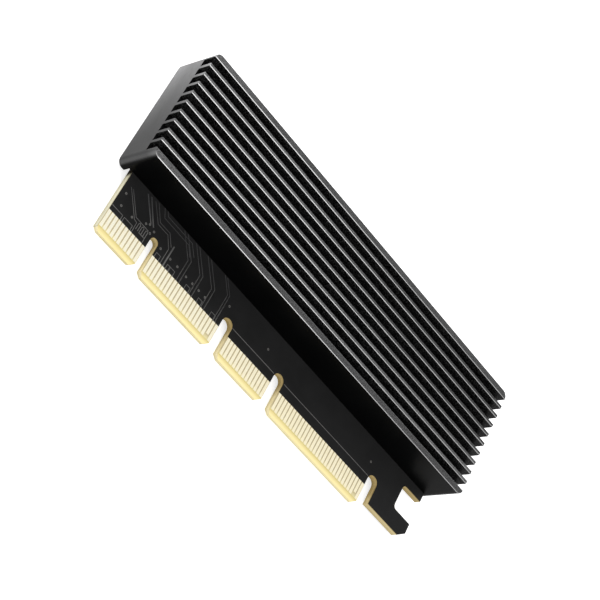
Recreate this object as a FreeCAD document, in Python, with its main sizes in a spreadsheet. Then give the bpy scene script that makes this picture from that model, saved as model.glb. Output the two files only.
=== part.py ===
import FreeCAD, Part
import os
import Sketcher

# Adapter card that carries an M.2 solid-state drive in a long card slot, under a finned heatsink.
# Millimetres.  X runs along the edge connector from its first finger to the retention hook,
# Y runs up the board away from the connector, Z runs out of the component side through the fins.
# Origin: middle of the key notch, on the board's bottom edge, on the board's back face.

os.makedirs("parts", exist_ok=True)
doc = FreeCAD.newDocument("ssd_adapter_card")
sheet = doc.addObject("Spreadsheet::Sheet", "Sizes")
Vector = FreeCAD.Vector

SIZES = [
    # bare board
    ("board_thickness", 1.6), ("corner_cut", 0.9), ("round_share", 0.49),
    ("bevel_run", 1.1), ("bevel_rise", 0.42),
    # edge connector
    ("finger_pitch", 1.0), ("finger_width", 0.7), ("finger_length", 4.15), ("finger_inset", 1.1),
    ("short_finger_cut", 1.0), ("finger_metal", 0.04), ("side_margin", 0.45),
    ("key_skip", 2), ("gap_skip", 3), ("gap_width", 2.97), ("slot_top", 8.45),
    ("first_count", 11), ("second_count", 21), ("third_count", 14), ("fourth_count", 30),
    # retention hook
    ("hook_gap", 3.1), ("hook_low", 2.6), ("hook_high", 6.8), ("hook_stem", 6.55), ("hook_reach", 6.0),
    ("hook_cut_along", 1.9), ("hook_cut_up", 1.7), ("hook_mouth_top", 12.8), ("hook_inner_round", 0.9),
    # heatsink
    ("board_step_out", 1.35), ("sink_front", 15.0), ("sink_height", 11.2), ("foot_round", 0.35),
    ("skirt_below", 0.4), ("skirt_wall", 1.5), ("skirt_foot", 2.1), ("sink_corner", 1.5),
    ("fin_pitch", 2.6), ("fin_thickness", 0.75), ("outer_wall", 1.5), ("slot_count", 10),
    ("slot_depth", 3.3), ("tip_bevel", 0.1),
    ("board_clearance", 0.2), ("bay_left_land", 6.2), ("bay_height", 4.7), ("chip_room", 0.8),
    ("tab_room", 0.225), ("tail_room", 0.2),
    # cover screws
    ("screw_inset_along", 3.9), ("screw_inset_across", 4.2), ("screw_thread", 2.5), ("thread_gap", 0.03),
    ("screw_hole", 2.9), ("screw_length", 5.0), ("screw_head", 4.5), ("screw_head_height", 1.1),
    ("tapped_depth", 4.2), ("recess_span", 2.2), ("recess_wide", 0.5), ("recess_deep", 0.6),
    # drive socket
    ("socket_deep", 8.7), ("socket_wide", 22.0), ("socket_height", 3.2),
    ("socket_mouth_wide", 20.0), ("socket_mouth_deep", 4.4), ("mouth_low", 1.35), ("mouth_high", 2.45),
    ("top_lip_back", 1.7), ("key_rib_wide", 1.2), ("key_rib_aside", 6.125),
    ("contact_pitch", 0.5), ("contact_wide", 0.22), ("contact_thick", 0.12), ("contact_tail", 0.8),
    ("peg_round", 1.0), ("peg_hole", 1.1), ("peg_length", 1.2), ("peg_apart", 19.0), ("peg_back", 3.0),
    ("tab_long", 1.6), ("tab_wide", 0.6), ("tab_thick", 0.25),
    # drive rest and its screw
    ("drive_length", 80.0), ("seat_gap", 0.1), ("drive_hole", 3.2), ("rest_height", 1.5),
    ("rest_round", 5.0), ("rest_barrel", 3.1), ("drive_thread", 2.0), ("drive_screw_length", 2.6),
    ("drive_screw_head", 4.0), ("drive_screw_head_height", 0.9), ("length_30", 30.0), ("length_42", 42.0),
    ("length_60", 60.0),
    # thermal pad
    ("pad_off_socket", 3.1), ("pad_off_rest", 0.1), ("pad_wide", 20.5), ("pad_thick", 0.5),
    # chip parts
    ("coupler_long", 1.0), ("coupler_wide", 0.5), ("coupler_high", 0.5), ("coupler_step", 1.9),
    ("coupler_off_tails", 0.1), ("chip_gap", 0.4), ("chip_past_rest", 2.8), ("chip_off_rest", 0.6),
    ("supply_long", 2.0), ("supply_wide", 1.25), ("supply_high", 0.85), ("supply_step", 2.6),
    ("tantalum_long", 3.2), ("tantalum_wide", 1.6), ("tantalum_high", 1.6),
    ("light_long", 1.6), ("light_wide", 0.8), ("light_high", 0.6),
]


def fill_sheet():
    for row, (name, value) in enumerate(SIZES, start=1):
        sheet.set("A%d" % row, name)
        sheet.set("B%d" % row, str(value))
        sheet.setAlias("B%d" % row, name)
    doc.recompute()


def formula(text):
    return text.replace("{", "Sizes.").replace("}", "")


def number(text):
    return float(sheet.evalExpression(formula(text)))


def bind(item, prop, text):
    item.setExpression(prop, formula(text))


def place(item, x="0", y="0", z="0"):
    for axis, text in (("x", x), ("y", y), ("z", z)):
        bind(item, "Placement.Base.%s" % axis, text)


def new_body(label):
    body = doc.addObject("PartDesign::Body", label + "_body")
    body.Label = label
    return body


def new_sketch(body, plane, name, lift=None):
    sketch = body.newObject("Sketcher::SketchObject", name)
    index = {"XY": 3, "XZ": 4, "YZ": 5}[plane]
    sketch.AttachmentSupport = [(body.Origin.OriginFeatures[index], "")]
    sketch.MapMode = "FlatFace"
    if lift:
        bind(sketch, "AttachmentOffset.Base.z", lift)
    return sketch


def pin_point(sketch, geometry, end, across, up):
    for kind, text in (("DistanceX", across), ("DistanceY", up)):
        value = number(text)
        if abs(value) < 1e-9:
            line = -2 if kind == "DistanceX" else -1
            sketch.addConstraint(Sketcher.Constraint("PointOnObject", geometry, end, line))
            continue
        made = sketch.addConstraint(Sketcher.Constraint(kind, -1, 1, geometry, end, value))
        sketch.setExpression("Constraints[%d]" % made, formula(text))


def polygon(sketch, corners):
    spots = [Vector(number(a), number(b), 0) for a, b in corners]
    start = sketch.GeometryCount
    for i, spot in enumerate(spots):
        sketch.addGeometry(Part.LineSegment(spot, spots[(i + 1) % len(spots)]), False)
    for i in range(len(spots)):
        following = start + (i + 1) % len(spots)
        sketch.addConstraint(Sketcher.Constraint("Coincident", start + i, 2, following, 1))
    for i, (across, up) in enumerate(corners):
        pin_point(sketch, start + i, 1, across, up)


def rectangle(sketch, left, low, right, high):
    polygon(sketch, [(left, low), (right, low), (right, high), (left, high)])


def circle(sketch, across, up, diameter):
    spot = Vector(number(across), number(up), 0)
    made = sketch.addGeometry(Part.Circle(spot, Vector(0, 0, 1), number(diameter) / 2), False)
    pin_point(sketch, made, 3, across, up)
    size = sketch.addConstraint(Sketcher.Constraint("Diameter", made, number(diameter)))
    sketch.setExpression("Constraints[%d]" % size, formula(diameter))


def pad(body, sketch, length, name, reverse=False):
    feature = body.newObject("PartDesign::Pad", name)
    feature.Profile = sketch
    feature.Reversed = reverse
    bind(feature, "Length", length)
    doc.recompute()
    return feature


def pocket(body, sketch, length, name, reverse=False, through=False):
    feature = body.newObject("PartDesign::Pocket", name)
    feature.Profile = sketch
    feature.Reversed = reverse
    if through:
        feature.Type = 1
        feature.Midplane = True
    else:
        bind(feature, "Length", length)
    doc.recompute()
    return feature


def upright_edges(shape, spots):
    found = []
    for i, edge in enumerate(shape.Edges, start=1):
        ends = [v.Point for v in edge.Vertexes]
        if len(ends) != 2 or abs(ends[0].x - ends[1].x) + abs(ends[0].y - ends[1].y) > 1e-6:
            continue
        for x, y in spots:
            if abs(ends[0].x - x) + abs(ends[0].y - y) < 1e-4:
                found.append("Edge%d" % i)
    return found


def round_edges(body, below, names, radius, label):
    feature = body.newObject("PartDesign::Fillet", label)
    feature.Base = (below, names)
    bind(feature, "Radius", radius)
    doc.recompute()
    return feature


def bevel_edges(body, below, names, size, label):
    feature = body.newObject("PartDesign::Chamfer", label)
    feature.Base = (below, names)
    bind(feature, "Size", size)
    doc.recompute()
    return feature


# positions along the edge connector
KEY_HALF = "({key_skip} + 1) / 2 * {finger_pitch}"
FIRST_END = "0 - " + KEY_HALF
FIRST_X = FIRST_END + " - ({first_count} - 1) * {finger_pitch}"
SECOND_X = KEY_HALF
SECOND_END = SECOND_X + " + ({second_count} - 1) * {finger_pitch}"
THIRD_X = SECOND_END + " + (1 + {gap_skip}) * {finger_pitch}"
THIRD_END = THIRD_X + " + ({third_count} - 1) * {finger_pitch}"
FOURTH_X = THIRD_END + " + (1 + {gap_skip}) * {finger_pitch}"
FOURTH_END = FOURTH_X + " + ({fourth_count} - 1) * {finger_pitch}"
SECTIONS = [
    (FIRST_X, FIRST_END, "first_count"), (SECOND_X, SECOND_END, "second_count"),
    (THIRD_X, THIRD_END, "third_count"), (FOURTH_X, FOURTH_END, "fourth_count"),
]

# the board's upper part, and the heatsink whose skirt goes round it
SINK_WIDE = "2 * {outer_wall} + {slot_count} * {fin_pitch} - {fin_thickness}"
SINK_MIDDLE = "{sink_front} + (" + SINK_WIDE + ") / 2"
SKIRT_GAP = "{skirt_wall} + {board_clearance}"
HOOK_LEFT = FOURTH_END + " + {side_margin} + {hook_gap}"
HOOK_INNER = HOOK_LEFT + " + {hook_stem}"
BOARD_RIGHT = HOOK_INNER + " + {hook_reach}"
BOARD_LEFT_UPPER = FIRST_X + " - {side_margin} - {board_step_out}"
SINK_LEFT = BOARD_LEFT_UPPER + " - (" + SKIRT_GAP + ")"
SINK_RIGHT = BOARD_RIGHT + " + " + SKIRT_GAP
SINK_LENGTH = SINK_RIGHT + " - (" + SINK_LEFT + ")"
BOARD_TOP = "{sink_front} + " + SINK_WIDE + " - (" + SKIRT_GAP + ")"
BOARD_STEP = "{sink_front} + " + SKIRT_GAP
REBATE = "{board_thickness} + {skirt_below}"
BAY_CEILING = "{board_thickness} + {bay_height}"
SCREW_SPOTS = [
    (along, across)
    for along in (SINK_LEFT + " + {screw_inset_along}", SINK_RIGHT + " - {screw_inset_along}")
    for across in (
        "{sink_front} + {screw_inset_across}",
        "{sink_front} + " + SINK_WIDE + " - {screw_inset_across}",
    )
]

# the drive's socket stands just inside the bay, and the rest of the bay follows from it
SOCKET_BACK = SINK_LEFT + " + {bay_left_land} + {contact_tail} + {tail_room}"
SOCKET_FRONT = SOCKET_BACK + " + {socket_deep}"
DRIVE_EDGE = SOCKET_FRONT + " - {socket_mouth_deep} + {seat_gap}"
DRIVE_HOLES = [DRIVE_EDGE + " + {length_%d}" % length for length in (30, 42, 60)]
REST_X = DRIVE_EDGE + " + {drive_length}"
PEG_X = SOCKET_BACK + " + {peg_back}"
CHIP_LINE = REST_X + " + {chip_past_rest}"
BAY_RIGHT = CHIP_LINE + " + {tantalum_wide} / 2 + {chip_room}"
BAY_HALF = "({socket_wide} / 2 + {tab_wide} + {tab_room})"
PAD_LEFT = SOCKET_FRONT + " + {pad_off_socket}"
PAD_LENGTH = REST_X + " - {rest_round} / 2 - {pad_off_rest} - (" + PAD_LEFT + ")"
COUPLER_LINE = SOCKET_FRONT + " + {contact_tail} + {coupler_off_tails}"


def board_outline():
    left = FIRST_X + " - {side_margin}"
    cut = "{corner_cut}"
    corners = [(left, cut), (left + " + " + cut, "0")]
    notches = [
        (FIRST_END + " + {side_margin}", SECOND_X + " - {side_margin}"),
        (SECOND_END + " + {side_margin}", SECOND_END + " + {side_margin} + {gap_width}"),
        (THIRD_END + " + {side_margin}", THIRD_END + " + {side_margin} + {gap_width}"),
    ]
    for near, far in notches:
        corners += [(near + " - " + cut, "0"), (near, cut), (near, "{slot_top}")]
        corners += [(far, "{slot_top}"), (far, cut), (far + " + " + cut, "0")]
    last = FOURTH_END + " + {side_margin}"
    corners += [(last + " - " + cut, "0"), (last, cut), (last, "{slot_top}")]
    corners += [(HOOK_LEFT, "{slot_top}"), (HOOK_LEFT, "{hook_low}")]
    corners += [(BOARD_RIGHT + " - {hook_cut_along}", "{hook_low}")]
    corners += [(BOARD_RIGHT, "{hook_low} + {hook_cut_up}"), (BOARD_RIGHT, "{hook_high}")]
    corners += [(HOOK_INNER, "{hook_high}"), (HOOK_INNER, "{hook_mouth_top}")]
    corners += [(BOARD_RIGHT, "{hook_mouth_top}"), (BOARD_RIGHT, BOARD_TOP)]
    corners += [(BOARD_LEFT_UPPER, BOARD_TOP), (BOARD_LEFT_UPPER, BOARD_STEP), (left, BOARD_STEP)]
    return corners, notches + [(last, HOOK_LEFT)]


def make_board():
    # Glass-fibre board: outline with the four connector sections, the hook and the wider upper part.
    body = new_body("pcb")
    corners, notches = board_outline()
    sketch = new_sketch(body, "XY", "board_outline")
    polygon(sketch, corners)
    solid = pad(body, sketch, "{board_thickness}", "board_pad")
    key, wide = notches[0], notches[1:]
    top = number("{slot_top}")
    spots = [(number(x), top) for x in key]
    solid = round_edges(
        body, solid, upright_edges(solid.Shape, spots),
        "{round_share} * ({key_skip} + 1) * {finger_pitch} - 2 * {round_share} * {side_margin}", "key_round",
    )
    spots = [(number(x), top) for pair in wide for x in pair]
    solid = round_edges(
        body, solid, upright_edges(solid.Shape, spots), "{round_share} * {gap_width}", "notch_rounds",
    )
    spots = [(number(HOOK_INNER), number(y)) for y in ("{hook_high}", "{hook_mouth_top}")]
    spots.append((number(FIRST_X + " - {side_margin}"), number(BOARD_STEP)))
    solid = round_edges(body, solid, upright_edges(solid.Shape, spots), "{hook_inner_round}", "hook_rounds")
    for face, name in (("0", "back"), ("{board_thickness}", "front")):
        inward = "{bevel_rise}" if name == "back" else "{board_thickness} - {bevel_rise}"
        bevel = new_sketch(body, "YZ", name + "_bevel", FIRST_X + " - 1")
        polygon(bevel, [("-0.001", face), ("{bevel_run}", face), ("-0.001", inward)])
        span = "(" + FOURTH_END + ") - (" + FIRST_X + ") + {side_margin} + 1 + {hook_gap} / 2"
        solid = pocket(body, bevel, span, name + "_bevel_cut", reverse=True)
    holes = new_sketch(body, "XY", "board_holes")
    for x, y in SCREW_SPOTS:
        circle(holes, x, y, "{screw_hole}")
    for x in DRIVE_HOLES + [REST_X]:
        circle(holes, x, SINK_MIDDLE, "{drive_hole}")
    for side in ("-", "+"):
        circle(holes, PEG_X, SINK_MIDDLE + " " + side + " {peg_apart} / 2", "{peg_hole}")
    body.Tip = pocket(body, holes, "1", "board_hole_cut", through=True)
    return body


def make_fingers(label, back):
    # One row of plated contact fingers on one face of the board; a few presence fingers are short.
    low = number("{finger_inset}")
    length = number("{finger_length}")
    short = number("{short_finger_cut}")
    metal = number("{finger_metal}")
    wide = number("{finger_width}")
    face = -metal if back else number("{board_thickness}")
    pads = []
    for start, end, count in SECTIONS:
        for i in range(int(number("{%s}" % count))):
            x = number(start) + i * number("{finger_pitch}")
            near_end = int(number("{%s}" % count)) - 2
            stub = short if i == near_end and count in ("second_count", "fourth_count") and not back else 0
            corner = Vector(x - wide / 2, low + stub, face)
            pads.append(Part.makeBox(wide, length - stub, metal, corner))
    feature = doc.addObject("Part::Feature", label)
    feature.Label = label
    feature.Shape = Part.makeCompound(pads)
    return feature


def make_heatsink():
    # Aluminium cover: finned block with a skirt round the board and a bay over the drive.
    body = new_body("heatsink")
    place(body, SINK_LEFT, "{sink_front}", "0 - {skirt_below}")
    wide = SINK_WIDE
    long = "(" + SINK_LENGTH + ")"
    block = new_sketch(body, "XY", "sink_block")
    rectangle(block, "0", "0", long, wide)
    solid = pad(body, block, "{sink_height}", "sink_pad")
    spots = [(x, y) for x in (0, number(long)) for y in (0, number(wide))]
    solid = round_edges(body, solid, upright_edges(solid.Shape, spots), "{sink_corner}", "sink_corners")
    top = number("{sink_height}")
    rim = ["Edge%d" % i for i, e in enumerate(solid.Shape.Edges, start=1) if e.BoundBox.ZMin > top - 1e-6]
    solid = bevel_edges(body, solid, rim, "{tip_bevel}", "rim_bevel")
    foot = ["Edge%d" % i for i, e in enumerate(solid.Shape.Edges, start=1) if e.BoundBox.ZMax < 1e-6]
    solid = round_edges(body, solid, foot, "{foot_round}", "foot_rounds")
    rebate = new_sketch(body, "XY", "rebate")
    far_in = long + " - {skirt_wall}"
    back_in = wide + " - {skirt_wall}"
    polygon(rebate, [
        ("{skirt_foot}", "0 - 1"), (far_in, "0 - 1"), (far_in, back_in),
        ("{skirt_wall}", back_in), ("{skirt_wall}", "{skirt_wall}"), ("{skirt_foot}", "{skirt_wall}"),
    ])
    pocket(body, rebate, REBATE, "rebate_cut", reverse=True)
    bay = new_sketch(body, "XY", "drive_bay")
    middle = "(" + wide + ") / 2"
    rectangle(
        bay, "{bay_left_land}", middle + " - " + BAY_HALF,
        BAY_RIGHT + " - (" + SINK_LEFT + ")", middle + " + " + BAY_HALF,
    )
    pocket(body, bay, REBATE + " + {bay_height}", "bay_cut", reverse=True)
    taps = new_sketch(body, "XY", "tapped_holes")
    for x in ("{screw_inset_along}", long + " - {screw_inset_along}"):
        for y in ("{screw_inset_across}", wide + " - {screw_inset_across}"):
            circle(taps, x, y, "{screw_thread}")
    pocket(body, taps, REBATE + " + {tapped_depth}", "tapped_cut", reverse=True)
    groove = new_sketch(body, "YZ", "fin_slot", "0 - 1")
    near = "{outer_wall}"
    far = "{outer_wall} + {fin_pitch} - {fin_thickness}"
    floor = "{sink_height} - {slot_depth}"
    lip = "{sink_height} - {tip_bevel}"
    above = "{sink_height} + {tip_bevel}"
    polygon(groove, [
        (near, floor), (far, floor), (far, lip),
        (far + " + 2 * {tip_bevel}", above), (near + " - 2 * {tip_bevel}", above), (near, lip),
    ])
    cut = pocket(body, groove, long + " + 2", "slot_cut", reverse=True)
    rows = body.newObject("PartDesign::LinearPattern", "slot_rows")
    rows.Originals = [cut]
    rows.Direction = (groove, ["H_Axis"])
    bind(rows, "Length", "({slot_count} - 1) * {fin_pitch}")
    bind(rows, "Occurrences", "{slot_count}")
    doc.recompute()
    body.Tip = rows
    return body


def make_screw(label, x, y, z, thread, length, head, head_height, up):
    # Pan-head screw: turned head and shank with a cross recess; the head faces up or down.
    body = new_body(label)
    place(body, x, y, z)
    sign = "" if up else "0 - "
    other = "0 - " if up else ""
    half = "(" + thread + ") / 2 - {thread_gap}"
    edge = "0.3 * (" + head_height + ")"
    turned = new_sketch(body, "XZ", label + "_turning")
    polygon(turned, [
        ("0", sign + head_height), (head + " / 2 - " + edge, sign + head_height),
        (head + " / 2", sign + "0.6 * (" + head_height + ")"), (head + " / 2", "0"),
        (half, "0"), (half, other + "(" + length + " - {tip_bevel})"),
        (half + " - {tip_bevel}", other + length), ("0", other + length),
    ])
    spin = body.newObject("PartDesign::Revolution", label + "_turned")
    spin.Profile = turned
    spin.ReferenceAxis = (turned, ["V_Axis"])
    spin.Angle = 360
    doc.recompute()
    cross = new_sketch(body, "XY", label + "_recess", sign + head_height)
    reach = "{recess_span} / 2"
    thin = "{recess_wide} / 2"
    polygon(cross, [
        ("0 - " + reach, "0 - " + thin), ("0 - " + thin, "0 - " + thin), ("0 - " + thin, "0 - " + reach),
        (thin, "0 - " + reach), (thin, "0 - " + thin), (reach, "0 - " + thin), (reach, thin),
        (thin, thin), (thin, reach), ("0 - " + thin, reach), ("0 - " + thin, thin), ("0 - " + reach, thin),
    ])
    body.Tip = pocket(body, cross, "{recess_deep}", label + "_recess_cut", reverse=not up)
    return body


def contact_strip(x_tail, x_foot, x_end, low, beam, rising):
    # Side view of one stamped contact: solder tail, riser and the beam that reaches the mouth.
    thick = number("{contact_thick}")
    step = thick if rising > 0 else -thick
    return [
        (x_tail, low), (x_foot + step, low), (x_foot + step, beam), (x_end, beam),
        (x_end, beam + thick), (x_foot, beam + thick), (x_foot, low + thick), (x_tail, low + thick),
    ]


def make_contact_row(label, upper):
    base = number("{board_thickness}")
    back = number(SOCKET_BACK)
    front = number(SOCKET_FRONT)
    tail = number("{contact_tail}")
    if upper:
        side = contact_strip(
            back - tail, back, back + number("{socket_deep} - {socket_mouth_deep} + 1.6"),
            base, base + number("{mouth_high}") - 0.02, 1,
        )
        count = 34
        shift = 0.25
    else:
        side = contact_strip(
            front + tail, front, back + number("{socket_deep} - {socket_mouth_deep} + 0.2"),
            base, base + number("{mouth_low}") - number("{contact_thick}") + 0.02, -1,
        )
        count = 33
        shift = 0.0
    strips = []
    pitch = number("{contact_pitch}")
    wide = number("{contact_wide}")
    rib = number("{key_rib_aside}")
    for i in range(count):
        aside = (i - (count - 1) / 2) * pitch + (shift - 0.25 if upper else 0.0)
        if abs(aside - rib) < number("{key_rib_wide}") / 2 + wide:
            continue
        y = number(SINK_MIDDLE) + aside - wide / 2
        face = Part.Face(Part.makePolygon([Vector(a, y, b) for a, b in side + side[:1]]))
        strips.append(face.extrude(Vector(0, wide, 0)))
    feature = doc.addObject("Part::Feature", label)
    feature.Label = label
    feature.Shape = Part.makeCompound(strips)
    return feature


def make_socket(rows):
    # Moulded M-key socket: mouth towards the drive, key rib, short top lip, two locating pegs.
    body = new_body("socket_moulding")
    place(body, SOCKET_BACK, SINK_MIDDLE, "{board_thickness}")
    block = new_sketch(body, "XY", "socket_block")
    rectangle(block, "0", "0 - {socket_wide} / 2", "{socket_deep}", "{socket_wide} / 2")
    pad(body, block, "{socket_height}", "socket_pad")
    lip = new_sketch(body, "XY", "socket_lip", "{mouth_low}")
    half = "{socket_mouth_wide} / 2"
    rectangle(lip, "{socket_deep} - {top_lip_back}", "0 - " + half, "{socket_deep} + 1", half)
    pocket(body, lip, "{socket_height}", "lip_cut", reverse=True)
    mouth = new_sketch(body, "XY", "socket_mouth", "{mouth_low}")
    rib_low = "{key_rib_aside} - {key_rib_wide} / 2"
    rib_high = "{key_rib_aside} + {key_rib_wide} / 2"
    inner = "{socket_deep} - {socket_mouth_deep}"
    rectangle(mouth, inner, "0 - " + half, "{socket_deep} + 1", rib_low)
    rectangle(mouth, inner, rib_high, "{socket_deep} + 1", half)
    pocket(body, mouth, "{mouth_high} - {mouth_low}", "mouth_cut", reverse=True)
    pegs = new_sketch(body, "XY", "socket_pegs")
    for side in ("0 - ", ""):
        circle(pegs, "{peg_back}", side + "{peg_apart} / 2", "{peg_round}")
    body.Tip = pad(body, pegs, "{peg_length}", "peg_pad", reverse=True)
    doc.recompute()
    tool = doc.addObject("Part::Compound", "socket_contact_room")
    tool.Links = rows
    cut = doc.addObject("Part::Cut", "ssd_socket")
    cut.Label = "ssd_socket"
    cut.Base = body
    cut.Tool = tool
    doc.recompute()
    return cut


def box(label, x, y, z, size_x, size_y, size_z):
    item = doc.addObject("Part::Box", label)
    item.Label = label
    for prop, text in (("Length", size_x), ("Width", size_y), ("Height", size_z)):
        bind(item, prop, text)
    place(item, x, y, z)
    return item


def group(label, items):
    made = doc.addObject("Part::Compound", label)
    made.Label = label
    made.Links = items
    return made


def make_socket_tabs():
    # Tinned hold-down tabs soldered beside the socket's two ends.
    tabs = []
    for name, side, shift in (("near", "-", " - {tab_wide}"), ("far", "+", "")):
        edge = SINK_MIDDLE + " " + side + " {socket_wide} / 2" + shift
        x = SOCKET_BACK + " + {socket_deep} / 2 - {tab_long} / 2"
        tabs.append(box(
            "tab_" + name, x, edge, "{board_thickness}", "{tab_long}", "{tab_wide}", "{tab_thick}",
        ))
    return group("socket_tabs", tabs)


def make_drive_rest():
    # Threaded rest at the drive's free end: shoulder above the board, barrel down through its hole.
    body = new_body("ssd_standoff")
    place(body, REST_X, SINK_MIDDLE, "{board_thickness}")
    turned = new_sketch(body, "XZ", "rest_turning")
    inner = "{drive_thread} / 2"
    polygon(turned, [
        (inner, "0 - {board_thickness}"), ("{rest_barrel} / 2", "0 - {board_thickness}"),
        ("{rest_barrel} / 2", "0"), ("{rest_round} / 2", "0"),
        ("{rest_round} / 2", "{rest_height} - {tip_bevel}"),
        ("{rest_round} / 2 - {tip_bevel}", "{rest_height}"), (inner, "{rest_height}"),
    ])
    spin = body.newObject("PartDesign::Revolution", "rest_turned")
    spin.Profile = turned
    spin.ReferenceAxis = (turned, ["V_Axis"])
    spin.Angle = 360
    doc.recompute()
    body.Tip = spin
    return body


def make_chip_rows():
    # Small soldered parts: signal capacitors by the socket, supply parts beyond the drive's free end.
    couplers = []
    for i in range(8):
        y = SINK_MIDDLE + " + (%d - 3.5) * {coupler_step} - {coupler_wide} / 2" % i
        couplers.append(box(
            "coupler_%d" % (i + 1), COUPLER_LINE, y, "{board_thickness}",
            "{coupler_long}", "{coupler_wide}", "{coupler_high}",
        ))
    supply = []
    for i in range(3):
        y = SINK_MIDDLE + " - {rest_round} / 2 - {chip_off_rest} - {supply_long} - %d * {supply_step}" % i
        x = CHIP_LINE + " - {supply_wide} / 2"
        supply.append(box(
            "supply_%d" % (i + 1), x, y, "{board_thickness}",
            "{supply_wide}", "{supply_long}", "{supply_high}",
        ))
    after_rest = SINK_MIDDLE + " + {rest_round} / 2 + {chip_off_rest}"
    after_tantalum = after_rest + " + {tantalum_long} + {chip_gap}"
    resistors = []
    for i in range(2):
        y = after_tantalum + " + {light_long} + {chip_gap} + %d * ({coupler_wide} + {chip_gap})" % i
        x = CHIP_LINE + " - {coupler_long} / 2"
        resistors.append(box(
            "resistor_%d" % (i + 1), x, y, "{board_thickness}",
            "{coupler_long}", "{coupler_wide}", "0.8 * {coupler_high}",
        ))
    return [
        group("coupling_capacitors", couplers),
        group("supply_capacitors", supply),
        box("tantalum_capacitor", CHIP_LINE + " - {tantalum_wide} / 2", after_rest, "{board_thickness}",
            "{tantalum_wide}", "{tantalum_long}", "{tantalum_high}"),
        box("status_led", CHIP_LINE + " - {light_wide} / 2", after_tantalum, "{board_thickness}",
            "{light_wide}", "{light_long}", "{light_high}"),
        group("resistors", resistors),
    ]


def build():
    fill_sheet()
    nodes = [make_board(), make_fingers("front_fingers", False), make_fingers("back_fingers", True)]
    nodes.append(make_heatsink())
    nodes.append(box(
        "thermal_pad", PAD_LEFT, SINK_MIDDLE + " - {pad_wide} / 2", BAY_CEILING + " - {pad_thick}",
        PAD_LENGTH, "{pad_wide}", "{pad_thick}",
    ))
    rows = [make_contact_row("socket_upper_contacts", True), make_contact_row("socket_lower_contacts", False)]
    nodes += rows
    nodes += [make_socket(rows), make_socket_tabs(), make_drive_rest()]
    nodes.append(make_screw(
        "ssd_screw", REST_X, SINK_MIDDLE, "{board_thickness} + {rest_height}", "{drive_thread}",
        "{drive_screw_length}", "{drive_screw_head}", "{drive_screw_head_height}", True,
    ))
    for i, (x, y) in enumerate(SCREW_SPOTS, start=1):
        nodes.append(make_screw(
            "cover_screw_%d" % i, x, y, "0", "{screw_thread}",
            "{screw_length}", "{screw_head}", "{screw_head_height}", False,
        ))
    nodes += make_chip_rows()
    return nodes


def check(nodes):
    doc.recompute()
    for item in doc.Objects:
        if "Invalid" in item.State or "Error" in item.State:
            raise RuntimeError("%s did not build: %s" % (item.Label, item.State))
    for node in nodes:
        if node.Shape.isNull() or not node.Shape.isValid() or node.Shape.Volume <= 0:
            raise RuntimeError("%s has no good solid" % node.Label)
    for body in doc.Objects:
        if body.TypeId != "PartDesign::Body":
            continue
        before = None
        for feature in body.Group:
            if not feature.isDerivedFrom("PartDesign::Feature"):
                continue
            volume = feature.Shape.Volume
            if before is not None and abs(volume - before) < 1e-4:
                raise RuntimeError("%s changed nothing on %s" % (feature.Label, body.Label))
            before = volume


nodes = build()
check(nodes)
for node in nodes:
    node.Shape.exportStep("parts/%s.step" % node.Label)
    reach = node.Shape.BoundBox
    print("%-24s solids %3d  volume %9.2f  x %.2f..%.2f  y %.2f..%.2f  z %.2f..%.2f" % (
        node.Label, len(node.Shape.Solids), node.Shape.Volume,
        reach.XMin, reach.XMax, reach.YMin, reach.YMax, reach.ZMin, reach.ZMax,
    ))
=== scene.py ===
import math

import bpy
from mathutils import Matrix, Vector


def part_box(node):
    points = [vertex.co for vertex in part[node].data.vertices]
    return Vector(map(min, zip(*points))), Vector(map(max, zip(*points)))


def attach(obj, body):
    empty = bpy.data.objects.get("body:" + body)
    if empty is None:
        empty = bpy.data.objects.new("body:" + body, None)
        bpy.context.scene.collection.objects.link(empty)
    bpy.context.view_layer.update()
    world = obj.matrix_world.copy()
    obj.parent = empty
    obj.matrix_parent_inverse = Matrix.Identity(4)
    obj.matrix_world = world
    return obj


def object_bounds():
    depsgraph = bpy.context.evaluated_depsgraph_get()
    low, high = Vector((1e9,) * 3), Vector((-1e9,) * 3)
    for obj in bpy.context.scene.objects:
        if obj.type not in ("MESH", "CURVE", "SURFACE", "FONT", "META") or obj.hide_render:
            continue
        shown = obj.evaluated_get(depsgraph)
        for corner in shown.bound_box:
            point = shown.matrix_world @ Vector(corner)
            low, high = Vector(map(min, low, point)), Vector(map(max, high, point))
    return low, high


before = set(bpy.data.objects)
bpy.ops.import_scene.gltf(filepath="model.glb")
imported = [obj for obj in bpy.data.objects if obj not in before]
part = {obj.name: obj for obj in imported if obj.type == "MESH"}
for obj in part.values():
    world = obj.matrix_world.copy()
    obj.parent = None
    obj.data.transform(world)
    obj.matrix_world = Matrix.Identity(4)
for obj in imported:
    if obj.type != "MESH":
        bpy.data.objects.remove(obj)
cad_low, cad_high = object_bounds()
MM = 1000


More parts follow.
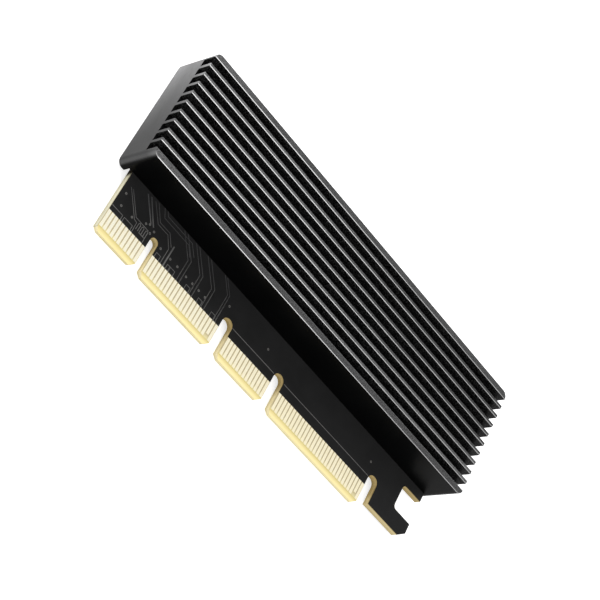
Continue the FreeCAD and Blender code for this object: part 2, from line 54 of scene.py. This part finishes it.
# ---------------------------------------------------------------------------------------------
# Board.  Glass-fibre laminate, routed to shape and bevelled along the connector, under a black
# solder mask.  The mask stops short of the fingers, where bare laminate shows between them.
# Plated rings surround the drive holes and the cover screws.
# ---------------------------------------------------------------------------------------------
class Value:
    """A number worked out inside a finish.  Arithmetic on it adds Math nodes."""

    def __init__(self, finish, socket):
        self.finish = finish
        self.socket = socket

    def out(self, index):
        return Value(self.finish, self.socket.node.outputs[index])

    def math(self, operation, *inputs):
        return self.finish.node("ShaderNodeMath", {"operation": operation}, dict(enumerate(inputs)))

    def __add__(self, other):
        return self.math("ADD", self, other)

    def __radd__(self, other):
        return self.math("ADD", other, self)

    def __sub__(self, other):
        return self.math("SUBTRACT", self, other)

    def __rsub__(self, other):
        return self.math("SUBTRACT", other, self)

    def __mul__(self, other):
        return self.math("MULTIPLY", self, other)

    def __rmul__(self, other):
        return self.math("MULTIPLY", other, self)

    def __lt__(self, other):
        return self.math("LESS_THAN", self, other)

    def __gt__(self, other):
        return self.math("GREATER_THAN", self, other)

    def __abs__(self):
        return self.math("ABSOLUTE", self)

    def capped(self):
        return self.math("MINIMUM", self, 1)


class Finish:
    """A finish built on one shader.  Places in it are in millimetres along the part's own axes."""

    def __init__(self, owner, shader="Principled BSDF"):
        owner.use_nodes = True
        self.owner = owner
        self.tree = owner.node_tree
        self.shader = self.tree.nodes[shader]

    def node(self, kind, settings=None, inputs=None, output=0):
        """Adds a node, sets it up and gives one of its outputs back as a Value."""
        made = self.tree.nodes.new(kind)
        for name, value in (settings or {}).items():
            setattr(made, name, value)
        for name, value in (inputs or {}).items():
            self.join(value, made.inputs[name])
        return Value(self, made.outputs[output])

    def join(self, value, socket):
        if isinstance(value, Value):
            self.tree.links.new(value.socket, socket)
        else:
            socket.default_value = value

    def set(self, **sockets):
        for name, value in sockets.items():
            self.join(value, self.shader.inputs[name.replace("_", " ")])

    def mix(self, share, first, second):
        """One colour passing into another as share goes from 0 to 1."""
        return self.node(
            "ShaderNodeMix", {"data_type": "RGBA"}, {0: share, 6: first, 7: second}, output=2)

    def grey(self, shade):
        return self.node("ShaderNodeCombineColor", inputs={0: shade, 1: shade, 2: shade * 1.01})

    def place(self):
        whole = self.node("ShaderNodeTexCoord", output=3)
        split = self.node("ShaderNodeSeparateXYZ", inputs={0: whole})
        return [split.out(i) * MM for i in range(3)]

    def facing(self):
        whole = self.node("ShaderNodeNewGeometry", output=3)
        split = self.node("ShaderNodeSeparateXYZ", inputs={0: whole})
        return [split.out(i) for i in range(3)]

    def grain(self, size, detail=3.0, stretch=(1, 1, 1)):
        """Noise from 0 to 1 whose grains are about size across."""
        whole = self.node("ShaderNodeTexCoord", output=3)
        scale = [MM / size / s for s in stretch]
        laid = self.node("ShaderNodeMapping", inputs={"Vector": whole, "Scale": scale})
        return self.node("ShaderNodeTexNoise", inputs={
            "Vector": laid, "Scale": 1.0, "Detail": detail, "Roughness": 0.55})

    def ramp(self, value, low, high, to_low=0.0, to_high=1.0):
        """Value carried from low..high to to_low..to_high, held at the ends."""
        return self.node("ShaderNodeMapRange", {"clamp": True}, {
            "Value": value, "From Min": low, "From Max": high, "To Min": to_low, "To Max": to_high})

    def vary(self, grain, to_low=0.0, to_high=1.0):
        """A grain spread over to_low..to_high.  Noise seldom leaves the middle of its range."""
        return self.ramp(grain, 0.3, 0.7, to_low, to_high)

    def mottle(self, grain, first, second):
        """Two colours that run into each other over a grain."""
        return self.mix(self.vary(grain), (*first, 1), (*second, 1))

    def bump(self, height, depth, strength=1.0):
        return self.node("ShaderNodeBump", inputs={
            "Height": height, "Distance": depth / MM, "Strength": strength})


def new_finish(name):
    return Finish(bpy.data.materials.new(name))


def dress(names, finish):
    for name in names:
        part[name].data.materials.clear()
        part[name].data.materials.append(finish.owner)


def span(name):
    """The two corners of a node's box, in millimetres."""
    return [[value * MM for value in corner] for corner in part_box(name)]


BOARD_FACE = span("pcb")[1][2]
FINGER_TOP = span("front_fingers")[1][1]
STRIP_MARGIN = 0.75
FINGER_END = span("front_fingers")[1][0] + STRIP_MARGIN
SLOT_LEFT = -11.8
HOOK_LEFT = 72.0
DRIVE_HOLES = (26.6, 38.6, 56.6, 76.6)
DRIVE_LINE = 29.125
DRIVE_RING, DRIVE_BARREL = 2.75, 1.7
SCREW_RING, SCREW_BARREL = 2.7, 1.55
SCREW_NAMES = ["cover_screw_%d" % i for i in range(1, 5)]

board = new_finish("black_mask_board")
x, y, z = board.place()
nz = board.facing()[2]
flat = abs(nz) > 0.99
cut_edge = abs(nz) < 0.5
bevel = (1 - flat) * (1 - cut_edge)
bare_strip = flat * (y < FINGER_TOP) * (x < FINGER_END)


def spot(at_x, at_y, radius):
    """1 inside a circle on the board."""
    across = x - at_x
    along = y - at_y
    return across * across + along * along < radius * radius


ring = 0
barrel = 0
for at_x in DRIVE_HOLES:
    ring = spot(at_x, DRIVE_LINE, DRIVE_RING) + ring
    barrel = spot(at_x, DRIVE_LINE, DRIVE_BARREL) + barrel
for name in SCREW_NAMES:
    low, high = span(name)
    at_x, at_y = [(low[i] + high[i]) / 2 for i in (0, 1)]
    ring = spot(at_x, at_y, SCREW_RING) + ring
    barrel = spot(at_x, at_y, SCREW_BARREL) + barrel
plated = ring * flat + barrel * cut_edge

cloth = board.grain(0.35, 2)
layers = board.grain(0.12, 2, stretch=(30, 30, 1))
# Bare laminate between the fingers: its own mottled colour, darkened with painted shade from the
# fingers beside it, and paler from y 2.2 down to 1.4.
between = board.mottle(cloth, (0.46, 0.39, 0.23), (0.54, 0.46, 0.29))
between = board.mix(board.ramp(y, 2.2, 1.4), between, (0.72, 0.64, 0.36, 1))
routed = board.mottle(layers, (0.70, 0.60, 0.31), (0.90, 0.80, 0.48))
# The bottom edge: the laminate's own pale colour, pushed paler still as painted light for the glow
# through the laminate.
bottom_edge_painted_glow = board.mottle(layers, (0.94, 0.81, 0.48), (1.0, 0.90, 0.58))
end_cut = board.mottle(layers, (0.62, 0.59, 0.44), (0.74, 0.71, 0.54))
# A darker, saturated laminate used as painted shade in the recesses.
recess_painted_shade = board.mottle(layers, (0.44, 0.34, 0.15), (0.64, 0.50, 0.24))
# Painted light: the routed edges turn paler towards +x.
routed = board.mix(board.ramp(x, -5, 45, 0, 0.6), routed, (0.97, 0.87, 0.53, 1))
edge = board.mix(y < 0.1, bottom_edge_painted_glow, routed)
edge = board.mix(x < SLOT_LEFT, edge, end_cut)
# Painted shade: the walls deep in the key notch and in the hook's mouth are darkened where shade
# falls.
slot_depth_shade = board.ramp(y, 4, 7) * board.ramp(x, -5, 20, 0.6, 1) * (x > SLOT_LEFT)
hook_mouth_shade = (x > HOOK_LEFT) * (y > 0.1) * (y < 12)
edge = board.mix((slot_depth_shade + hook_mouth_shade * 0.7).capped(), edge, recess_painted_shade)
# The cut edges are darker just under the board's face and over their lower part.
edge_darker_bands = board.ramp(z, BOARD_FACE - 0.3, BOARD_FACE - 0.05, 0, 0.5)
edge_darker_bands = edge_darker_bands + board.ramp(z, 0.95, 0.35, 0, 0.3)
edge = board.mix(edge_darker_bands, edge, (0.26, 0.19, 0.05, 1))
# Painted shade: the edge turns nearly black from y 14 on, beside the heatsink that shades it.
edge = board.mix(board.ramp(y, 14.0, 14.8), edge, (0.02, 0.015, 0.008, 1))
slope = board.ramp(y, 1.05, 0.4) * board.ramp(x, -8, 8, 0.8, 1) + layers * 0.3 - 0.15
ground = board.mix(slope, (0.68, 0.57, 0.23, 1), (0.95, 0.82, 0.42, 1))

# A faint copper pour above the guard line, plus painted light that lifts the mask from y 9 to 14,
# beside the heatsink where its shade falls.
pour_and_painted_light = board.ramp(x, 24.2, 24.8) * board.ramp(y, 7.4, 7.6) * 0.001 + board.ramp(y, 9, 14) * 0.009
shade = 0.0112 + pour_and_painted_light + board.ramp(board.grain(6, 2), 0.35, 0.65, -0.0015, 0.0015)
color = board.mix(bare_strip, board.grey(shade), between)
color = board.mix(bevel, color, ground)
color = board.mix(cut_edge, color, edge)
color = board.mix(plated, color, (0.83, 0.70, 0.42, 1))
smear = board.grain(1.2, 4)
raw = bare_strip + bevel + cut_edge
rough = board.vary(smear, 0.42, 0.52) + raw * 0.28
rough = rough * (1 - plated) + plated * board.vary(smear, 0.24, 0.38)
relief = cloth * 0.5 * raw + board.grain(0.09, 2) * 0.35 + layers * cut_edge
board.set(
    Base_Color=color, Roughness=rough, Metallic=plated, Specular_IOR_Level=0.08,
    Normal=board.bump(relief, 0.012, 0.6),
)
dress(["pcb"], board)


# ---------------------------------------------------------------------------------------------
# Edge fingers.  Copper contacts plated with hard gold on both faces, bright from the plating
# and drawn lengthwise where the card has been pushed into a slot.
# ---------------------------------------------------------------------------------------------
gold = new_finish("hard_gold")
draw = gold.grain(0.05, 2, stretch=(1, 14, 1))
film = gold.grain(1.5)
# Paler gold at the left end, turning yellower towards the right.
paler_gold = gold.mottle(film, (1.0, 0.94, 0.74), (1.0, 0.97, 0.80))
yellower_gold = gold.mottle(film, (0.99, 0.90, 0.64), (1.0, 0.93, 0.70))
gold.set(
    Base_Color=gold.mix(gold.ramp(gold.place()[0], -12, 45), paler_gold, yellower_gold),
    Metallic=1.0,
    Roughness=gold.vary(draw, 0.26, 0.38),
    Normal=gold.bump(draw, 0.004, 0.5),
)
dress(["front_fingers", "back_fingers"], gold)


# ---------------------------------------------------------------------------------------------
# Copper tracks.  Etched copper under the mask stands up as low, slightly paler lines: ties just
# above the fingers, tuned combs by the key notch, the drive's lane pairs that run up under the
# heatsink, and one guard line above the long finger groups.  The back carries the other lanes.
# ---------------------------------------------------------------------------------------------
TRACK_RISE = 0.045
FOOT = FINGER_TOP - 0.1
TIE_LINE = 6.45
FOOT_TOP = 10.4


def start_fresh():
    bpy.ops.object.select_all(action="DESELECT")


def lay_tracks(paths, width, face):
    """Low rounded lines along the paths, half sunk in the board's face."""
    start_fresh()
    curve = bpy.data.curves.new("track", "CURVE")
    curve.dimensions = "3D"
    curve.bevel_depth = width / (2 * MM)
    curve.bevel_resolution = 1
    curve.use_fill_caps = True
    for path in paths:
        line = curve.splines.new("POLY")
        line.points.add(len(path) - 1)
        for point, (along, up) in zip(line.points, path):
            point.co = (along / MM, up / MM, 0, 1)
    track = bpy.data.objects.new("track", curve)
    bpy.context.collection.objects.link(track)
    track.select_set(True)
    bpy.context.view_layer.objects.active = track
    bpy.ops.object.convert(target="MESH")
    track = bpy.context.object
    track.scale.z = TRACK_RISE / (width / 2)
    track.location.z = face / MM
    bpy.ops.object.transform_apply(location=True, rotation=False, scale=True)
    return track


def join_as(name, pieces):
    start_fresh()
    for piece in pieces:
        piece.select_set(True)
    bpy.context.view_layer.objects.active = pieces[0]
    bpy.ops.object.join()
    pieces[0].name = name
    return pieces[0]


def fit(piece, finish):
    """Gives a piece its finish and fixes it to the part."""
    piece.data.materials.clear()
    piece.data.materials.append(finish.owner)
    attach(piece, "root")


def tie(left, right):
    """A tie across two fingers."""
    return [(left, FOOT), (left, TIE_LINE), (right, TIE_LINE), (right, FOOT)]


def pair(left, gap, bend, top=14.9):
    """Two lanes side by side that rise from the fingers, then lean left up to the heatsink."""
    lanes = []
    for foot, lift in ((left, 0), (left + gap, gap * 0.41)):
        turn = bend + lift
        lanes.append([(foot, FOOT), (foot, turn), (foot - (top - turn) * 0.95, top)])
    return lanes


copper = new_finish("mask_over_copper")
rub = copper.grain(0.8)
pale = copper.mottle(rub, (0.100, 0.099, 0.098), (0.150, 0.146, 0.138))
track_painted_shade = copper.mottle(rub, (0.050, 0.050, 0.051), (0.066, 0.066, 0.067))
copper.set(
    # Painted shade: the tracks darken from y 8 to 12.5 as they run in under the heatsink's shade.
    Base_Color=copper.mix(copper.ramp(copper.place()[1], 8, 12.5), pale, track_painted_shade),
    Roughness=copper.vary(rub, 0.36, 0.46),
    Specular_IOR_Level=0.4,
    Normal=copper.bump(copper.grain(0.07, 2), 0.006, 0.5),
)

ties = [tie(left, left + reach) for left, reach in (
    (-8.2, 2.4), (1.6, 1.2), (5.0, 0.7), (5.9, 1.3), (10.8, 1.2), (14.7, 1.2), (18.8, 1.2))]
ties.append([(-11.8, TIE_LINE), (-8.7, TIE_LINE), (-8.7, FOOT)])
ties.append([(-3.9, TIE_LINE), (-2.2, TIE_LINE), (-2.2, FOOT)])
for left in (-4.9, -3.9, -2.8):
    ties.append([(left, 6.5), (left, 7.9), (left + 0.28, 8.2), (left + 0.56, 7.9), (left + 0.56, 6.5)])

pairs = [(8.4, 0.8, 10.6), (12.4, 0.75, 10.3), (16.2, 0.8, 10.2), (20.1, 0.55, 12.0)]
feet = [
    [(foot, FOOT), (foot, min(bend, FOOT_TOP))]
    for left, gap, bend in pairs for foot in (left, left + gap)
]
lanes = [lane for left, gap, bend in pairs for lane in pair(left, gap, bend)]
lanes += [
    [(-9.8, 12.45), (-6.1, 8.45), (-2.3, 8.35)],
    [(-10.4, 12.4), (-6.2, 7.85), (-5.4, 7.7), (-5.3, FOOT)],
    [(-4.4, 14.45), (-1.3, 11.15), (1.7, 11.15), (3.45, 9.0), (3.45, FOOT)],
    [(-3.6, 14.7), (-1.1, 11.8), (1.9, 11.8), (3.75, 9.7)],
    [(-1.9, 15.0), (-0.8, 13.3), (6.8, 13.2), (8.4, 11.4)],
    [(-0.9, 15.0), (-0.3, 14.15), (7.3, 14.1), (9.2, 12.1)],
]
supply = [
    [(-6.6, 14.3), (-2.8, 10.1), (-2.7, 9.6)],
    [(-5.6, 14.4), (-1.8, 9.8)],
    [(4.25, FOOT), (4.25, FOOT_TOP)],
]
guard = [[(24.9, 7.45), (38.7, 7.45)], [(42.1, 7.45), (71.7, 7.45)]]

front = [
    lay_tracks(ties, 0.17, BOARD_FACE),
    lay_tracks(feet, 0.21, BOARD_FACE),
    lay_tracks(lanes, 0.15, BOARD_FACE),
    lay_tracks(supply, 0.34, BOARD_FACE),
    lay_tracks(guard, 0.15, BOARD_FACE),
]
fit(join_as("front_tracks", front), copper)

back_lanes = []
for i in range(4):
    for j in range(2):
        start = 2.5 + 4 * i + 0.35 * j
        level = 12.6 + 1.9 * i + 0.35 * (1 - j)
        lean = 5 + 2.2 * i
        back_lanes.append([(start, FOOT), (start, level), (start - lean, level + lean)])
back_supply = [
    [(-9.5, FOOT), (-9.5, 11.5), (-11.0, 14.0), (-11.0, 15.5)],
    [(-8.5, FOOT), (-8.5, 11.2), (-6.4, 13.6)],
]
back = [
    lay_tracks(back_lanes, 0.15, 0),
    lay_tracks(back_supply, 0.4, 0),
    lay_tracks(guard, 0.15, 0),
]
fit(join_as("back_tracks", back), copper)


# ---------------------------------------------------------------------------------------------
# Vias.  Small plated holes that tie the copper layers together, each a low ring under the mask
# with a dimple in its middle.  They go right through, so the same spots show on the back.
# ---------------------------------------------------------------------------------------------
VIA_RADIUS, VIA_RISE = 0.27 / MM, 0.07 / MM


def make_via(face, outward):
    start_fresh()
    bpy.ops.mesh.primitive_cylinder_add(
        vertices=14, radius=VIA_RADIUS, depth=VIA_RISE, location=(0, 0, face / MM))
    via = bpy.context.object
    bpy.ops.object.transform_apply(location=True)
    bpy.ops.object.mode_set(mode="EDIT")
    bpy.ops.mesh.select_all(action="DESELECT")
    bpy.ops.object.mode_set(mode="OBJECT")
    for polygon in via.data.polygons:
        polygon.select = polygon.normal.z * outward > 0.9
    bpy.ops.object.mode_set(mode="EDIT")
    bpy.ops.mesh.inset(thickness=0.00006, depth=0.000012)
    bpy.ops.mesh.inset(thickness=0.00007, depth=0)
    bpy.ops.mesh.inset(thickness=0.00005, depth=-0.00005)
    bpy.ops.object.mode_set(mode="OBJECT")
    return via


def set_out(first, spots):
    """Copies of a piece, each with its own mesh, at the given places."""
    made = []
    for along, up in spots:
        start_fresh()
        first.select_set(True)
        bpy.context.view_layer.objects.active = first
        bpy.ops.object.duplicate()
        copy = bpy.context.object
        copy.location = (along / MM, up / MM, 0)
        bpy.ops.object.transform_apply(location=True)
        made.append(copy)
    start_fresh()
    first.select_set(True)
    bpy.ops.object.delete()
    return made


tented = new_finish("mask_over_via")
dust = tented.grain(0.2)
tented.set(
    Base_Color=tented.mottle(dust, (0.075, 0.074, 0.072), (0.14, 0.135, 0.125)),
    Roughness=tented.vary(dust, 0.35, 0.5),
    Specular_IOR_Level=0.5,
    Normal=tented.bump(dust, 0.01, 0.5),
)
spots = [(-10.6, 10.5), (-10.1, 7.75), (-6.9, 7.75), (-3.6, 9.15), (-2.8, 9.7)]
spots += [(-1.2, 9.2), (-1.8, 8.25)]
spots += [(1.9, 7.7), (4.9, 7.7), (7.1, 7.7), (9.9, 7.6), (11.9, 7.6), (13.9, 7.6), (15.9, 7.6)]
spots += [(21.8, 10.5), (34.7, 10.4), (70.8, 10.4)]
fit(join_as("front_vias", set_out(make_via(BOARD_FACE, 1), spots)), tented)
back_spots = spots + [(-4.4 + 1.7 * i, 22.5 + 2.2 * i) for i in range(6)]
back_spots += [(24 + 6.5 * i, 13.0) for i in range(8)] + [(84.6, 15.2), (79.2, 5.4), (84.1, 4.6)]
fit(join_as("back_vias", set_out(make_via(0, -1), back_spots)), tented)


# ---------------------------------------------------------------------------------------------
# Heatsink.  One aluminium block, milled with nine fins between two outer walls, a bay for the
# drive and a skirt round the board, then blasted and anodised black.  Its ends are paler, and
# the fins' edges were cut bright last.  Painted light, shade and reflection lie over the ends
# and the fins' tops.
# ---------------------------------------------------------------------------------------------
SINK_LOW, SINK_HIGH = span("heatsink")
FIN_FOOT = 7.4
OUTER_WALL = 1.5

sink = new_finish("black_anodised_aluminium")
x, y, z = sink.place()
nx, ny, nz = sink.facing()
bright = sink.ramp(abs(ny), 0.35, 0.55) * sink.ramp(nz, 0.35, 0.55)
end = sink.ramp(abs(nx), 0.3, 0.6)
tip = sink.ramp(nz, 0.9, 0.98) * (z > SINK_HIGH[2] - 0.4)
inner = (y > SINK_LOW[1] + OUTER_WALL - 0.2) * (y < SINK_HIGH[1] - OUTER_WALL + 0.2)
slot_wall = inner * (z > FIN_FOOT) * (abs(ny) > 0.5)
slot_floor = inner * (z > FIN_FOOT - 0.2) * (nz > 0.5)

drawn = sink.grain(0.10, 3, stretch=(60, 1, 1))
sawn = sink.grain(0.14, 3, stretch=(1, 14, 1))
matt = sink.grain(0.07, 2)
blasted = sink.ramp(sink.grain(0.2, 1), 0.5, 0.64)
pitted = sink.ramp(sink.grain(0.22, 1), 0.4, 0.6)
haze = sink.vary(sink.grain(9))
color = sink.mix(haze, (0.0010, 0.0010, 0.0011, 1), (0.0016, 0.0016, 0.0017, 1))
color = sink.mix(slot_floor, color, (0.004, 0.004, 0.0042, 1))
wall_color = sink.mix(blasted, (0.0005, 0.0005, 0.0005, 1), (0.055, 0.055, 0.055, 1))
color = sink.mix(slot_wall, color, wall_color)
# Painted reflection: the end faces lighten towards their bottom, from y 18 on, standing in for the
# floor seen in them.
low_painted_reflection = sink.ramp(z, 0, 4, 0.5, 0) * sink.ramp(y, 18, 26)
# Painted light on the ends: over the sawn grain their grey rises steeply towards +y.
rise = sink.ramp(y, 17, SINK_HIGH[1])
end_grey_painted_light = (0.82 + rise * rise * 2.64) * (1 + low_painted_reflection) * sink.vary(sawn, 0.054, 0.070)
outer = y < SINK_LOW[1] + OUTER_WALL + 0.1
# Painted highlight on the outer wall's rounded corner, and painted reflection over the outer wall's
# far end.
corner = outer * (sink.ramp(ny, -0.4, -0.65, 1, 1.85) + (x > 0) * 0.9)
# Painted shade: a darker band on the inner fins' ends where the face turns halfway to the side.
slant_painted_shade = (1 - outer) * sink.ramp(abs(abs(ny) - 0.5), 0, 0.2, 0.6, 1)
# Painted highlight: the ends lighten towards the fins' tops.
end_grey_painted_light = end_grey_painted_light * (corner + slant_painted_shade) * sink.ramp(z, 8, 10.6, 1, 1.7)
color = sink.mix(end, color, sink.grey(end_grey_painted_light))
# Painted light and shade on the tops: the inner fins' tops are lifted and darken towards +x and +y,
# and the outer walls' tops lighten towards the -x end.
far_tip_painted_shade = sink.ramp(x, 12, 50) * sink.ramp(y, 19, 29)
tip_grey_painted_light = sink.vary(drawn, 0.046, 0.080) * (0.5 + pitted * 0.95)
tip_grey_painted_light = tip_grey_painted_light * (1 + inner * (0.75 - far_tip_painted_shade * 0.95) + (1 - inner) * sink.ramp(x, 5, -14, 0, 0.5))
color = sink.mix(tip, color, sink.grey(tip_grey_painted_light))
color = sink.mix(bright, color, sink.mottle(drawn, (0.33, 0.33, 0.33), (0.43, 0.43, 0.43)))
rough = 0.33 + haze * 0.05
rough = rough * (1 - bright) + bright * sink.vary(drawn, 0.22, 0.34)
relief = matt * 0.5 + drawn * (1 - end) * 0.8 + sawn * end
sink.set(
    Base_Color=color, Metallic=bright, Roughness=rough, Specular_IOR_Level=0.06,
    Normal=sink.bump(relief, 0.006, 0.6),
)
dress(["heatsink"], sink)


# ---------------------------------------------------------------------------------------------
# Thermal pad.  Soft grey filled silicone, pressed against the roof of the bay.
# ---------------------------------------------------------------------------------------------
pad = new_finish("filled_silicone")
speck = pad.grain(0.15, 4)
pad.set(
    Base_Color=pad.mottle(speck, (0.36, 0.39, 0.43), (0.46, 0.49, 0.53)),
    Roughness=pad.vary(speck, 0.7, 0.85),
    Normal=pad.bump(speck, 0.03, 0.5),
)
dress(["thermal_pad"], pad)


# ---------------------------------------------------------------------------------------------
# Drive socket.  Black glass-filled nylon moulding with stamped gold contacts in two rows and
# tinned hold-down tabs soldered to the board.
# ---------------------------------------------------------------------------------------------
nylon = new_finish("black_nylon")
grit = nylon.grain(0.12)
nylon.set(
    Base_Color=nylon.mottle(grit, (0.018, 0.018, 0.018), (0.030, 0.030, 0.030)),
    Roughness=nylon.vary(grit, 0.45, 0.6),
    Normal=nylon.bump(grit, 0.01, 0.5),
)
dress(["ssd_socket"], nylon)

stamped = new_finish("stamped_gold_contact")
flow = stamped.grain(0.06, 2, stretch=(8, 1, 1))
stamped.set(
    Base_Color=stamped.mottle(flow, (0.90, 0.66, 0.30), (0.98, 0.76, 0.38)),
    Metallic=1.0,
    Roughness=stamped.vary(flow, 0.25, 0.4),
    Normal=stamped.bump(flow, 0.004, 0.5),
)
dress(["socket_upper_contacts", "socket_lower_contacts"], stamped)

tin = new_finish("tinned_tab")
melt = tin.grain(0.3)
tin.set(
    Base_Color=tin.mottle(melt, (0.62, 0.62, 0.61), (0.74, 0.74, 0.72)),
    Metallic=1.0,
    Roughness=tin.vary(melt, 0.3, 0.5),
    Normal=tin.bump(melt, 0.01, 0.6),
)
dress(["socket_tabs"], tin)


# ---------------------------------------------------------------------------------------------
# Drive rest and its screw.  Turned brass, nickel plated, with a small pan-head steel screw.
# ---------------------------------------------------------------------------------------------
nickel = new_finish("nickel_plate")
turning = nickel.grain(0.05, 2, stretch=(9, 9, 1))
nickel.set(
    Base_Color=nickel.mottle(turning, (0.66, 0.63, 0.58), (0.76, 0.73, 0.68)),
    Metallic=1.0,
    Roughness=nickel.vary(turning, 0.2, 0.34),
    Normal=nickel.bump(turning, 0.006, 0.6),
)
dress(["ssd_standoff", "ssd_screw"], nickel)


# ---------------------------------------------------------------------------------------------
# Chip parts.  Fired ceramic bodies with tinned ends, a moulded yellow capacitor and a clear
# lamp, all soldered flat on the board inside the bay.
# ---------------------------------------------------------------------------------------------
def dress_chips(name, first, second, axis, cap, count=1, pitch=0.0):
    """Bodies in a row of count, pitch apart, whose two ends are tinned over a length of cap."""
    chip = new_finish(name)
    where = chip.place()[axis]
    low = span(name)[0][axis]
    high = span(name)[1][axis] - (count - 1) * pitch
    tinned = 0
    for start, stop in [(low + i * pitch, high + i * pitch) for i in range(count)]:
        tinned = (where > start - 0.1) * (where < start + cap) + tinned
        tinned = (where > stop - cap) * (where < stop + 0.1) + tinned
    fleck = chip.grain(0.1)
    chip.set(
        Base_Color=chip.mix(tinned, chip.mottle(fleck, first, second), (0.70, 0.70, 0.69, 1)),
        Metallic=tinned,
        Roughness=chip.vary(fleck, 0.32, 0.5),
        Normal=chip.bump(fleck, 0.01, 0.5),
    )
    dress([name], chip)


dress_chips("coupling_capacitors", (0.42, 0.30, 0.20), (0.50, 0.37, 0.25), 0, 0.25)
dress_chips("supply_capacitors", (0.40, 0.29, 0.19), (0.48, 0.35, 0.24), 1, 0.4, count=3, pitch=2.6)
dress_chips("resistors", (0.012, 0.012, 0.012), (0.02, 0.02, 0.02), 0, 0.22)
dress_chips("tantalum_capacitor", (0.70, 0.42, 0.06), (0.78, 0.48, 0.09), 1, 0.35)
dress_chips("status_led", (0.80, 0.86, 0.76), (0.88, 0.93, 0.84), 1, 0.3)


# ---------------------------------------------------------------------------------------------
# Cover screws.  Four black-oxide steel pan heads, driven from the back through the board.  The
# oxide has rubbed off on top of the heads.
# ---------------------------------------------------------------------------------------------
oxide = new_finish("black_oxide_steel")
scuff = oxide.grain(0.25, 4)
rubbed = oxide.ramp(scuff, 0.62, 0.75) * oxide.ramp(oxide.place()[2], -0.9, -1.05)
oxide.set(
    Base_Color=oxide.mix(rubbed, (0.035, 0.035, 0.037, 1), (0.16, 0.16, 0.16, 1)),
    Metallic=0.7,
    Roughness=oxide.vary(scuff, 0.34, 0.5),
    Normal=oxide.bump(oxide.grain(0.06, 2), 0.006, 0.5),
)
dress(SCREW_NAMES, oxide)


# ---------------------------------------------------------------------------------------------
# Studio.  A pale seamless floor under an even white sky, a broad lamp beyond the fins, a lamp
# near the short end, one in front that lights the fins' edges, and the camera.
# ---------------------------------------------------------------------------------------------
MIDDLE = (0.037, 0.025, 0.005)
FLOOR_GAP = 0.05 / MM

start_fresh()
bpy.ops.mesh.primitive_plane_add(size=6, location=(0.037, 0.02, cad_low.z - FLOOR_GAP))
floor = bpy.context.object
floor.name = "floor"
bpy.ops.object.transform_apply(location=True)
paper = new_finish("pale_floor")
seen = paper.node("ShaderNodeLightPath")
paper.set(
    Base_Color=paper.mottle(paper.grain(2.0), (0.80, 0.80, 0.80), (0.82, 0.82, 0.82)),
    Roughness=0.9,
    Specular_IOR_Level=0.0,
    Emission_Color=seen * 0.7 + seen.out(3) * 0.2 + seen.out(6) * 0.2,
    Emission_Strength=1.0,
)
floor.data.materials.append(paper.owner)

bpy.context.scene.world = bpy.data.worlds.new("studio")
sky = Finish(bpy.context.scene.world, "Background")
seen = sky.node("ShaderNodeLightPath")
sky.set(Color=0.8 + 0.2 * (seen + seen.out(3) + seen.out(6)).capped(), Strength=1.0)


def soft_lamp(name, direction, distance, size, strength):
    """A square lamp that faces the part from the given direction."""
    start_fresh()
    bpy.ops.object.light_add(type="AREA")
    lamp = bpy.context.object
    lamp.name = name
    reach = distance / math.hypot(*direction)
    aim = lamp.location.copy()
    aim[:] = [step * reach for step in direction]
    lamp.location = [offset + centre for offset, centre in zip(aim, MIDDLE)]
    lamp.rotation_euler = aim.to_track_quat("Z", "Y").to_euler()
    lamp.data.shape = "SQUARE"
    lamp.data.size = size
    lamp.data.energy = strength * math.pi * size * size
    lamp.visible_camera = False
    return lamp


soft_lamp("far_lamp", (0.44, 0.56, 0.70), 0.7, 0.6, 0.7).visible_glossy = False
soft_lamp("near_lamp", (-0.72, 0.46, 0.56), 0.24, 0.14, 5.0).visible_glossy = False
soft_lamp("front_lamp", (0.26, -0.755, 0.60), 0.7, 0.28, 2.8)

start_fresh()
bpy.ops.object.camera_add(location=(-0.1461363, -0.1866229, 0.2792612))
camera = bpy.context.object
camera.rotation_euler = [math.radians(angle) for angle in (10.16395, -44.19043, 34.87418)]
camera.data.sensor_width = 36
camera.data.lens = 115.1534
camera.data.clip_start = 0.01
camera.data.clip_end = 20
bpy.context.scene.camera = camera
bpy.context.scene.view_settings.view_transform = "Standard"
